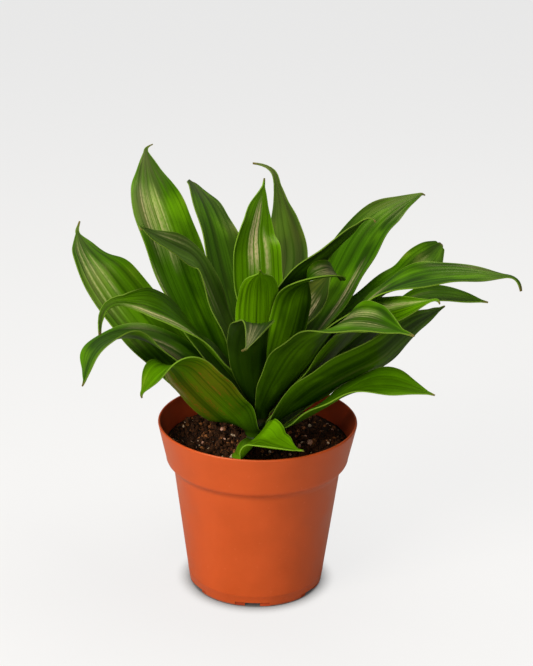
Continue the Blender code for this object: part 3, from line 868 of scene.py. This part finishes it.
@dataclass(frozen=True)
class Pot:
    """The thin nursery pot: a band below the rim, a tapered body and a notched foot ring."""

    sides: int = 180
    height: float = 95.3
    rim_radius: float = 54.0
    rim_lip: float = 1.3
    band_foot: float = 74.7
    band_radius: float = 49.7
    body_top: float = 68.3
    body_radius: float = 45.5
    foot_radius: float = 36.9
    foot_round: float = 1.8
    floor_radius: float = 37.2
    foot_inner: float = 32.5
    wall: float = 1.3
    under_floor: float = 3.0
    floor: float = 4.5
    pad_radius: float = 12.0
    notches: int = 6
    notch_turn: float = -92.0
    notch_width: float = 19.0
    notch_height: float = 2.7
    set_back: float = 35.2
    slot_width: float = 8.2
    drain: tuple[float, float] = (24.0, 30.0)
    past_wall: float = 40.0
    past_foot: float = -2.0

    def body_at(self, height: float) -> float:
        """Returns the tapered body's outer radius at a height."""
        slope = (self.body_radius - self.foot_radius) / (self.body_top - self.foot_round)
        return self.foot_radius + slope * (height - self.foot_round)

    def profile(self) -> list[tuple[float, float]]:
        """Lays out the wall, with the small steps that round its edges.

        Returns:
            Points of radius and height: under the floor, up the outside, over the rim and down inside.
        """
        inner_foot = self.body_at(self.floor) - self.wall
        inner_rim = self.rim_radius - self.rim_lip
        inner_band = self.band_radius - self.wall
        inner_body = self.body_radius - self.wall
        return [
            # The flat pad, the raised floor and the foot ring
            (0.0, 0.0),
            (self.pad_radius, 0.0),
            (self.pad_radius + 1.5, self.under_floor),
            (self.foot_inner - 0.8, self.under_floor),
            (self.foot_inner, 0.0),
            (self.foot_radius - 1.5, 0.0),
            (self.foot_radius - 0.9, 0.15),
            (self.foot_radius - 0.4, 0.6),
            (self.foot_radius, self.foot_round),
            # The light line above the foot
            (self.body_at(6.4) - 0.02, 6.4),
            (self.body_at(6.7) + 0.10, 6.7),
            (self.body_at(7.1), 7.1),
            # The shoulder and the foot of the band
            (self.body_radius - 0.1, self.body_top - 0.8),
            (self.body_radius + 0.15, self.body_top + 0.3),
            (self.body_radius + 0.7, self.body_top + 1.5),
            (self.body_radius + 1.7, self.body_top + 2.8),
            (self.band_radius - 1.3, self.band_foot - 2.6),
            (self.band_radius - 0.5, self.band_foot - 1.6),
            (self.band_radius - 0.05, self.band_foot - 0.6),
            (self.band_radius + 0.08, self.band_foot + 0.5),
            # The rounded rim
            (self.rim_radius - 0.12, self.height - 1.5),
            (self.rim_radius, self.height - 0.9),
            (self.rim_radius - 0.06, self.height - 0.4),
            (self.rim_radius - 0.3, self.height - 0.08),
            (self.rim_radius - 0.65, self.height),
            (inner_rim + 0.3, self.height - 0.08),
            (inner_rim + 0.05, self.height - 0.35),
            (inner_rim, self.height - 0.8),
            # The inside
            (inner_band, self.band_foot + 0.2),
            (inner_band - 1.3, self.band_foot - 1.9),
            (inner_body + 0.9, self.body_top + 2.7),
            (inner_body, self.body_top + 0.6),
            (inner_foot, self.floor + 1.2),
            (inner_foot - 1.2, self.floor),
            (0.0, self.floor),
        ]

    def cutter(
        self, width: float, radii: tuple[float, float], heights: tuple[float, float]
    ) -> bpy.types.Object:
        """Makes one cutting box at each notch.

        Args:
            width: The boxes' width along the wall.
            radii: Their inner and outer distance from the axis.
            heights: Their lower and upper level.

        Returns:
            A hidden object that holds all the boxes.
        """
        boxes = bmesh.new()
        for notch in range(self.notches):
            turn = Matrix.Rotation(np.radians(self.notch_turn + notch * 360.0 / self.notches), 4, "Z")
            middle = Vector((sum(radii) / 2.0, 0.0, sum(heights) / 2.0)) * MM
            size = Vector((radii[1] - radii[0], width, heights[1] - heights[0])) * MM
            place = turn @ Matrix.Translation(middle) @ Matrix.Diagonal((*size, 1.0))
            bmesh.ops.create_cube(boxes, size=1.0, matrix=place)
        mesh = bpy.data.meshes.new("notch_cutter")
        boxes.to_mesh(mesh)
        boxes.free()
        cutter = bpy.data.objects.new("notch_cutter", mesh)
        cutter.hide_render = True
        bpy.context.scene.collection.objects.link(cutter)
        return cutter

    def build(self) -> bpy.types.Object:
        """Turns the pot and cuts its notches, set-back feet and drain slots.

        Returns:
            The pot's object.
        """
        scratch = bpy.data.objects.new("pot_scratch", turned("pot", self.profile(), self.sides))
        bpy.context.scene.collection.objects.link(scratch)
        # The cutters differ a little in their reach, so that no two faces coincide
        notch = ((self.set_back, self.past_wall), (self.past_foot, self.notch_height))
        slot_reach = (self.foot_inner - 2.0, self.past_wall + 0.5)
        slot = (slot_reach, (self.past_foot - 0.5, self.notch_height - 0.2))
        cutters = [
            self.cutter(self.notch_width, *notch),
            self.cutter(self.slot_width, *slot),
            self.cutter(self.slot_width - 0.4, self.drain, (1.0, self.floor + 2.0)),
        ]
        for cutter in cutters:
            cut = scratch.modifiers.new("cut", "BOOLEAN")
            cut.operation = "DIFFERENCE"
            cut.solver = "EXACT"
            cut.object = cutter
        mesh = evaluated_mesh(scratch)
        for cutter in cutters:
            bpy.data.objects.remove(cutter, do_unlink=True)
        mesh.set_sharp_from_angle(angle=np.radians(CREASE_ANGLE))
        mesh.materials.clear()
        mesh.materials.append(MouldedPolypropylene().build())
        mesh.materials.append(ShadedPolypropylene().build())
        # Painted shade: the inner wall and the set-back feet in the notches take the darker plastic
        for face in mesh.polygons:
            flat_place = Vector((face.center.x, face.center.y, 0.0))
            facing = flat_place.normalized().dot(face.normal)
            reach = flat_place.length / MM - self.set_back
            inside = facing < -0.5 and face.center.z > SOIL_LEVEL / 2.0 * MM
            foot = facing > 0.5 and -0.5 < reach < 0.2 and face.center.z < self.notch_height * MM
            face.material_index = int(inside or foot)
        return finished(mesh, "pot_fine", ("pot",))


@dataclass(frozen=True)
class Compost:
    """The filled pot's compost: a lumpy dark body, with crumbs of peat, bark and grit on it."""

    pot: Pot = Pot()
    clearance: float = 0.3
    relief: float = 1.2
    smooth_inside: float = 9.0
    smooth_outside: float = 7.0
    relief_edge: float = 51.0
    size_skew: float = 2.2
    stretch: tuple[float, float] = (0.55, 1.25)
    bedding: float = 0.12
    rings: int = 46
    sides: int = 220
    seed: int = 11

    def height_at(self, x: np.ndarray, y: np.ndarray) -> np.ndarray:
        """Gives the level of the compost's top.

        Args:
            x: Places across, in mm.
            y: Places towards the back, in mm.

        Returns:
            Levels in mm.
        """
        radius = np.hypot(x, y)
        swell = np.sin(0.21 * x + 0.9) * np.cos(0.17 * y - 0.4)
        lumps = np.sin(0.46 * x - 0.31 * y + 2.0) + np.cos(0.38 * x + 0.52 * y)
        level = smooth_step((radius - Cane().radius) / self.smooth_inside)
        level = level * smooth_step((self.relief_edge - radius) / self.smooth_outside)
        grains = 0.35 * np.sin(1.9 * x + 1.1 * np.sin(1.3 * y)) * np.cos(2.2 * y + 0.9 * np.sin(1.7 * x))
        return SOIL_LEVEL + self.relief * level * (0.6 * swell + 0.35 * lumps + grains)

    def build(self) -> list[bpy.types.Object]:
        """Builds the body and scatters the crumbs over it.

        Returns:
            The body, then one object for each kind of crumb.
        """
        hole = Cane().radius + self.clearance
        pot = self.pot
        shoulder = pot.body_radius - pot.wall - self.clearance
        band = pot.band_radius - pot.wall - self.clearance
        slope = (pot.rim_radius - pot.rim_lip - pot.band_radius + pot.wall) / (pot.height - pot.band_foot)
        edge = band + slope * (SOIL_LEVEL - pot.band_foot) - 0.1
        foot = pot.floor_radius - pot.wall - self.clearance
        pit = SOIL_LEVEL - Cane().depth - self.clearance
        profile = [(0.0, pit), (hole, pit)]
        profile += [(radius, SOIL_LEVEL) for radius in np.linspace(hole, edge, self.rings)]
        profile += [
            (band - 0.1, pot.band_foot + 0.2),
            (band - 1.5, pot.band_foot - 1.9),
            (shoulder + 0.6, pot.body_top + 2.7),
            (shoulder - 0.1, pot.body_top + 0.6),
            (foot - 0.1, pot.floor + self.clearance + 1.4),
            (foot - 1.5, pot.floor + self.clearance),
            (0.0, pot.floor + self.clearance),
        ]
        mesh = turned("compost", profile, self.sides)
        for vertex in mesh.vertices:
            if abs(vertex.co.z / MM - SOIL_LEVEL) < 0.01:
                vertex.co.z = self.height_at(vertex.co.x / MM, vertex.co.y / MM) * MM
        mesh.materials.append(Crumb("peat_compost", "#120A05", "#301B0D", 0.9, 600.0).build())
        pieces = [finished(mesh, "compost_fine", ("soil",))]

        kinds = (
            (Crumb("peat_clods", "#140A04", "#47280F", 0.9, 1100.0), 620, (2.0, 5.4)),
            (Crumb("peat_crumbs", "#180C05", "#573013", 0.9, 900.0), 3000, (0.5, 2.2)),
            (Crumb("bark_chips", "#48270F", "#9C6437", 0.7, 700.0), 460, (0.8, 3.2)),
            (Crumb("pale_grit", "#A08262", "#E6D2B8", 0.7, 800.0), 130, (0.8, 2.6)),
            (Crumb("pink_grit", "#A87660", "#DCB29C", 0.7, 700.0), 44, (1.6, 4.2)),
        )
        rng = np.random.default_rng(self.seed)
        for finish, count, sizes in kinds:
            pieces.append(self.scatter(finish, count, sizes, hole + 1.0, edge - 0.5, rng))
        return pieces

    def scatter(
        self, finish: Crumb, count: int, sizes: tuple[float, float], inner: float, outer: float,
        rng: np.random.Generator,
    ) -> bpy.types.Object:
        """Scatters one kind of crumb over the compost.

        Args:
            finish: The crumbs' finish.
            count: How many there are.
            sizes: The smallest and the largest, across.
            inner: The least distance from the axis.
            outer: The greatest distance from the axis.
            rng: The seeded source of the scatter.

        Returns:
            One object that holds all the crumbs.
        """
        heap = bmesh.new()
        for _ in range(count):
            # Most crumbs are near the smallest size
            size = sizes[0] + (sizes[1] - sizes[0]) * rng.random() ** self.size_skew
            radius = np.sqrt(rng.uniform(inner**2, (outer - 0.6 * size) ** 2))
            turn = rng.uniform(0.0, 2.0 * np.pi)
            x = radius * np.cos(turn)
            y = radius * np.sin(turn)
            stretch = rng.uniform(*self.stretch, 3) * size / 2.0
            spin = Matrix.Rotation(rng.uniform(0.0, 6.3), 4, Vector(rng.normal(size=3)).normalized())
            middle = Vector((x, y, float(self.height_at(x, y)) + size * self.bedding)) * MM
            place = Matrix.Translation(middle) @ spin @ Matrix.Diagonal((*(stretch * MM), 1.0))
            bmesh.ops.create_icosphere(heap, subdivisions=1, radius=1.0, matrix=place)
        mesh = bpy.data.meshes.new(finish.name)
        heap.to_mesh(mesh)
        heap.free()
        mesh.materials.append(finish.build())
        return finished(mesh, finish.name, ())


LEAVES = (
    # Outermost: low leaves that lie out over the rim
    Leaf("leaf_front_short", azimuth=257, root=2, length=72, width=29, rise=19, arch=-24,
         fold=33, fold_at=0.59, fold_over=0.14, sweep=62, hook=15, lean=41, twist=-45,
         channel=8, tip_channel=21, drip=5, drip_drop=-4, drip_turn=-40,
         age=0.8),
    Leaf("leaf_back_right_low", azimuth=27, root=2, length=106, width=31, rise=37, arch=-9,
         fold=48, channel=30,
         age=0.4),
    Leaf("leaf_right_low", azimuth=327, root=2, length=112, width=26, rise=34, arch=-14,
         fold=53, fold_at=0.71, fold_over=0.45, sweep=16, hook=-9, lean=1, twist=32,
         channel=27, drip=4, drip_drop=4,
         age=0.3),
    Leaf("leaf_back_low", azimuth=90, root=4, length=118, width=29, rise=24, arch=34,
         age=0.1),
    Leaf("leaf_left_turned", azimuth=221, root=5, length=95, width=31, base=0.5, rise=44, arch=-15,
         fold=113, fold_at=0.76, fold_over=0.33, sweep=-25, hook=12, lean=47, twist=-65,
         channel=17, tip_channel=18, drip=4, drip_drop=50,
         age=0.35, stain=0.9, painted_light_bands=(HighlightBand(-0.85, 0.2, 0.4, 0.8, side=Side.LOWER),)),
    Leaf("leaf_right_broad", azimuth=331, root=6, length=144, width=36, rise=46, arch=30,
         fold=10, fold_at=0.56, fold_over=0.18, sweep=7, hook=74, lean=-29, twist=-41,
         channel=25, tip_channel=6, drip=6, drip_drop=12, drip_turn=10,
         age=-0.15, painted_light_bands=(HighlightBand(0.0, 0.1, 0.25, 0.7, 0.25, Side.LOWER),)),
    Leaf("leaf_back_left_low", azimuth=124, root=7, length=96, width=29, rise=25, arch=33,
         age=0.1),
    Leaf("leaf_back_right_mid", azimuth=74, root=9, length=111, width=26, rise=34, arch=31,
         age=0.1),
    Leaf("leaf_left_long", azimuth=175, root=8, length=167, width=34, rise=37, arch=-15,
         fold=39, fold_at=0.72, fold_over=0.28, sweep=-45, hook=-25, lean=-30, twist=43,
         channel=24, tip_channel=8, drip=10, drip_drop=-41, drip_turn=-40,
         age=0.2, grey_tip=0.5, painted_light_bands=(HighlightBand(0.5, 0.4, 0.5, 0.95, 0.35), HighlightBand(0.05, 0.12, 0.55, 0.85, 0.3))),
    Leaf("leaf_right_striped", azimuth=342, root=10, length=137, width=28, rise=49, arch=-15,
         fold=35, fold_at=0.62, fold_over=0.16, sweep=-9, hook=-7, lean=-11, twist=46,
         channel=17, tip_channel=13, drip=9, drip_drop=42, drip_turn=-53,
         age=0.5, painted_light_bands=(HighlightBand(0.4, 0.4, 0.62, 0.98, 0.55),)),
    Leaf("leaf_back_mid", azimuth=112, root=12, length=121, width=29, rise=42, arch=31,
         age=0.15),
    # Middle: the long leaves that make the spread
    Leaf("leaf_left_outer_drooping", azimuth=181, root=12, length=140, width=32, rise=51, arch=50,
         fold=27, fold_at=0.64, fold_over=0.54, sweep=21, hook=61, lean=-12, twist=50,
         channel=24, tip_channel=10, drip=5, drip_drop=-5, drip_turn=-9,
         age=0.0, painted_light_bands=(HighlightBand(0.5, 0.6, 0.22, 0.75, 1.0), HighlightBand(-0.2, 0.15, 0.35, 0.6, 0.5))),
    Leaf("leaf_right_level", azimuth=12, root=14, length=147, width=27, rise=42, arch=0,
         fold=38, fold_at=0.71, fold_over=0.35, sweep=-23, hook=-27, lean=-27, twist=44,
         channel=37, tip_channel=8, drip=4, drip_drop=8, drip_turn=17,
         age=0.25, painted_light_bands=(HighlightBand(0.3, 0.3, 0.45, 0.8, 0.4),)),
    Leaf("leaf_left_tall", azimuth=152, root=16, length=178, width=34, rise=50, arch=-15,
         fold=37, fold_at=0.69, fold_over=0.30, sweep=-45, hook=-12, lean=-6, twist=-2,
         channel=24, tip_channel=13, drip=8, drip_drop=5, drip_turn=-85,
         age=0.1, grey_tip=0.8,
         painted_light_bands=(HighlightBand(0.45, 0.3, 0.5, 0.84, 0.4), HighlightBand(0.0, 0.24, 0.46, 0.84, 0.6),
                HighlightBand(0.88, 0.12, 0.3, 0.55))),
    Leaf("leaf_front_right_arched", azimuth=300, root=16, length=154, width=39, rise=51, arch=-5,
         fold=50, fold_at=0.63, fold_over=0.57, sweep=20, hook=-10, lean=-1, twist=24,
         channel=25, tip_channel=25, drip=9, drip_drop=7,
         age=0.15, painted_light_bands=(HighlightBand(0.45, 0.3, 0.5, 0.85, 0.5), HighlightBand(-0.1, 0.35, 0.6, 0.92, 0.35))),
    Leaf("leaf_right_back", azimuth=23, root=17, length=144, width=29, rise=48, arch=29,
         fold=11, fold_at=0.82, fold_over=0.20, sweep=1, hook=36, lean=-9, twist=50,
         channel=28, tip_channel=15, drip=4, drip_drop=13, drip_turn=30, tip=0.25, blunt=0.7,
         age=0.15, grey_tip=0.2, painted_light_bands=(HighlightBand(-0.4, 0.25, 0.3, 0.6, 0.5),)),
    Leaf("leaf_front_dark", azimuth=255, root=20, length=146, width=23, rise=54, arch=29,
         fold=44, fold_at=0.81, fold_over=0.31, sweep=39, hook=-37, lean=1, twist=-11,
         channel=50, tip_channel=10, drip=5, drip_drop=-21, drip_turn=-39,
         age=-0.7, grey_tip=0.5, painted_light_bands=(HighlightBand(0.0, 0.8, 0.8, 0.98, 0.25),)),
    Leaf("leaf_left_inner_drooping", azimuth=198, root=24, length=125, width=34, rise=56, arch=24,
         fold=34, fold_at=0.66, fold_over=0.46, sweep=1, hook=14, lean=-2, twist=-61,
         channel=12, drip=26, drip_drop=89, drip_turn=42, tip=0.16,
         age=0.3, grey_tip=0.6, painted_light_bands=(HighlightBand(0.7, 0.28, 0.3, 0.85, 1.0),)),
    Leaf("leaf_right_long", azimuth=343, root=21, length=173, width=34, rise=52, arch=13,
         fold=47, fold_at=0.62, fold_over=0.45, sweep=14, hook=15, lean=-12, twist=23,
         channel=15, tip_channel=6, drip=13, drip_drop=68, drip_turn=-49, tip=0.13,
         age=0.0, grey_tip=0.3, painted_light_bands=(HighlightBand(0.35, 0.25, 0.34, 0.58, 0.8),)),
    Leaf("leaf_back_curled", azimuth=76, root=22, length=162, width=24, rise=38, arch=-3,
         fold=-7, fold_at=0.58, fold_over=0.15, sweep=4, hook=26, lean=-6, twist=-17,
         channel=25, drip=22, drip_drop=41, drip_turn=79, tip=0.16,
         age=-0.45, dull=0.3, grey_tip=0.6),
    Leaf("leaf_right_high", azimuth=29, root=25, length=159, width=32, rise=48, arch=16,
         fold=21, fold_at=0.75, fold_over=0.40, sweep=50, hook=-40, lean=-9, twist=32,
         channel=10, drip=4, drip_drop=47, drip_turn=-21,
         age=-0.2, painted_light_bands=(HighlightBand(-0.6, 0.08, 0.2, 0.6, 0.5), HighlightBand(-0.8, 0.08, 0.2, 0.6, 0.5))),
    # Inner: the upright leaves round the top of the cane
    Leaf("leaf_centre_right_folded", azimuth=300, root=24, length=119, width=21, rise=62, arch=-30,
         fold=120, fold_at=0.74, fold_over=0.36, sweep=35, hook=102, lean=-38, twist=73,
         channel=33, tip_channel=35, drip=4, drip_drop=5, tip=0.2, blunt=0.8,
         age=-0.1, painted_light_bands=(HighlightBand(0.0, 0.9, 0.72, 0.99, 0.7), HighlightBand(-0.4, 0.6, 0.72, 0.99, 0.6, Side.LOWER))),
    Leaf("leaf_back_left_upright", azimuth=117, root=27, length=139, width=30, rise=56, arch=3,
         fold=41, fold_over=0.31, sweep=-3, hook=-4, lean=22, twist=11,
         drip=2, drip_drop=49, drip_turn=-14, tip=0.2, blunt=0.8,
         age=0.15, dull=0.1, grey_tip=0.6, painted_light_bands=(HighlightBand(-0.75, 0.12, 0.3, 0.6, 0.6),)),
    Leaf("leaf_front_bright", azimuth=265, root=31, length=104, width=23, rise=79, arch=29,
         fold_at=0.65, fold_over=0.26, sweep=15, hook=-6, lean=10, twist=-2,
         channel=23, drip=7, drip_drop=4, drip_turn=-5,
         age=1.0),
    Leaf("leaf_centre_glossy", azimuth=40, root=32, length=73, width=26, rise=56, arch=1,
         fold=7, fold_at=0.52, fold_over=0.27, sweep=-7, hook=-3, lean=-3, twist=22,
         channel=46, drip=4, drip_drop=-31, drip_turn=7,
         age=-0.6, dull=0.2, painted_light_bands=(HighlightBand(0.1, 0.3, 0.4, 0.8, 1.0), HighlightBand(-0.4, 0.2, 0.5, 0.8, 0.7))),
    Leaf("leaf_back_left_inner", azimuth=159, root=32, length=132, width=21, rise=63, arch=-14,
         fold=41, fold_at=0.57, fold_over=0.14, sweep=26, hook=55, lean=-8, twist=-39,
         channel=29, tip_channel=18, drip=8, drip_drop=49, drip_turn=58,
         age=0.3, dull=0.4,
         painted_light_bands=(HighlightBand(-0.65, 0.25, 0.55, 0.85, 0.8), HighlightBand(0.3, 0.1, 0.3, 0.55, 0.7),
                HighlightBand(-0.1, 0.08, 0.3, 0.5, 0.6))),
    Leaf("leaf_right_crested", azimuth=337, root=41, length=120, width=30, rise=77, arch=1,
         fold=29, fold_at=0.40, fold_over=0.24, sweep=-13, hook=12, lean=-14, twist=-2,
         channel=14, tip_channel=19, drip=16, drip_drop=54, drip_turn=-57,
         age=-0.15, dull=0.1, painted_light_bands=(HighlightBand(0.9, 0.2, 0.35, 0.7, 0.6, Side.LOWER),)),
    Leaf("leaf_centre_tall", azimuth=95, root=46, length=102, width=28, rise=87, arch=34,
         fold=15, fold_at=0.64, fold_over=0.16, sweep=15, hook=-28, lean=9, twist=49,
         channel=18, tip_channel=16, drip=5, drip_drop=-38, drip_turn=-9,
         age=0.5,
         painted_light_bands=(HighlightBand(0.1, 0.36, 0.42, 0.92, 1.0), HighlightBand(-0.45, 0.15, 0.4, 0.75, 0.6))),
)


@dataclass(frozen=True)
class SoftBox:
    """One soft square light: its place and side in mm, its power in watts and its colour."""

    name: str
    place: tuple[float, float, float]
    side: float
    power: float
    colour: str


@dataclass(frozen=True)
class Studio:
    """The plain pale floor, the soft studio light and the camera."""

    camera_place: tuple[float, float, float] = (4.02, -848.8, 461.7)
    look_down: float = 20.46
    camera_roll: float = 0.92
    focal_px: float = 1702.0
    paper: str = "#F2F2F2"
    bounce: str = "#B8B4B0"
    wall: str = "#F1EFED"
    room: str = "#E8E0D4"
    room_light: float = 0.21
    floor_half: float = 4000.0
    contact_shade: float = 14.0
    glow_share: float = 0.88
    aim_height: float = 120.0
    lights: tuple[SoftBox, ...] = (
        SoftBox("key", (-700.0, -760.0, 700.0), 600.0, 17.5, "#FFF6E8"),
        SoftBox("top", (200.0, 200.0, 1000.0), 620.0, 8.0, "#FFFAF0"),
        SoftBox("front", (150.0, -1500.0, 420.0), 900.0, 7.0, "#FFF8EE"),
    )

    def add_light(self, box: SoftBox) -> None:
        """Adds one light that faces the plant.

        Args:
            box: The light.
        """
        data = bpy.data.lights.new(box.name, "AREA")
        data.size = box.side * MM
        data.energy = box.power
        data.color = linear(box.colour)[:3]
        light = bpy.data.objects.new(box.name, data)
        light.location = Vector(box.place) * MM
        light.visible_camera = False
        way = Vector((0.0, 0.0, self.aim_height * MM)) - light.location
        light.rotation_euler = way.to_track_quat("-Z", "Y").to_euler()
        bpy.context.scene.collection.objects.link(light)

    def add_backdrop(self) -> None:
        """Adds the pale floor that the pot stands on, which the camera sees as lit evenly but for a painted
        contact shadow under the pot.
        """
        sweep = bmesh.new()
        bmesh.ops.create_grid(sweep, x_segments=1, y_segments=1, size=self.floor_half * MM)
        mesh = bpy.data.meshes.new("floor")
        sweep.to_mesh(mesh)
        sweep.free()
        material, tree, output = new_material("pale_paper")
        seen = add_node(tree, "LightPath").outputs["Is Camera Ray"]
        paper = add_node(tree, "BsdfDiffuse", {"Color": linear(self.paper)}).outputs[0]
        dim = add_node(tree, "BsdfDiffuse", {"Color": linear(self.bounce)}).outputs[0]
        # Painted shadow: the glow fades where the pot stands close above the paper
        reach = self.contact_shade * MM
        near = add_node(tree, "AmbientOcclusion", {"Distance": reach}, samples=16).outputs["AO"]
        shaded = Mask(near, 0.25, 0.85, 0.03, 1.0).share(tree)
        glow = add_node(tree, "Emission", {"Color": linear(self.paper), "Strength": shaded}).outputs[0]
        lit = add_node(tree, "MixShader", {0: self.glow_share, 1: paper, 2: glow}).outputs[0]
        mixed = add_node(tree, "MixShader", {0: seen, 1: dim, 2: lit}).outputs[0]
        tree.links.new(mixed, output.inputs["Surface"])
        mesh.materials.append(material)
        floor = bpy.data.objects.new("floor", mesh)
        bpy.context.scene.collection.objects.link(floor)

    def add_camera(self) -> None:
        """Adds the camera at the photograph's viewing angle."""
        down = np.radians(self.look_down)
        roll = np.radians(self.camera_roll)
        forward = Vector((0.0, np.cos(down), -np.sin(down)))
        up = Vector((0.0, np.sin(down), np.cos(down)))
        right = Vector((1.0, 0.0, 0.0))
        rolled_right = right * np.cos(roll) + up * np.sin(roll)
        rolled_up = up * np.cos(roll) - right * np.sin(roll)
        data = bpy.data.cameras.new("camera")
        data.sensor_width = 36.0
        data.lens = self.focal_px * data.sensor_width / PHOTO_HEIGHT_PX
        camera = bpy.data.objects.new("camera", data)
        turn = Matrix((rolled_right, rolled_up, -forward)).transposed().to_4x4()
        camera.matrix_world = Matrix.Translation(Vector(self.camera_place) * MM) @ turn
        bpy.context.scene.collection.objects.link(camera)
        bpy.context.scene.camera = camera

    def build(self) -> None:
        """Builds the studio."""
        scene = bpy.context.scene
        scene.view_settings.view_transform = "Standard"
        world = bpy.data.worlds.new("studio")
        scene.world = world
        world.use_nodes = True
        tree = world.node_tree
        tree.nodes.clear()
        seen = add_node(tree, "LightPath").outputs["Is Camera Ray"]
        wall = add_node(tree, "Background", {"Color": linear(self.wall), "Strength": 1.0}).outputs[0]
        lit_room = {"Color": linear(self.room), "Strength": self.room_light}
        room = add_node(tree, "Background", lit_room).outputs[0]
        sky = add_node(tree, "MixShader", {0: seen, 1: room, 2: wall}).outputs[0]
        output = add_node(tree, "OutputWorld")
        tree.links.new(sky, output.inputs["Surface"])
        for box in self.lights:
            self.add_light(box)
        self.add_backdrop()
        self.add_camera()


def main() -> None:
    """Loads the frame and builds the studio and every piece."""
    logging.basicConfig(level=logging.INFO, format="%(name)s %(message)s")
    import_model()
    Studio().build()
    Pot().build()
    Compost().build()
    Cane().build()
    skins = [LeafCuticle().build(), LeafUnderside().build()]
    blade = Blade()
    for leaf in LEAVES:
        blade.build(leaf, skins)


if __name__ == "__main__":
    main()
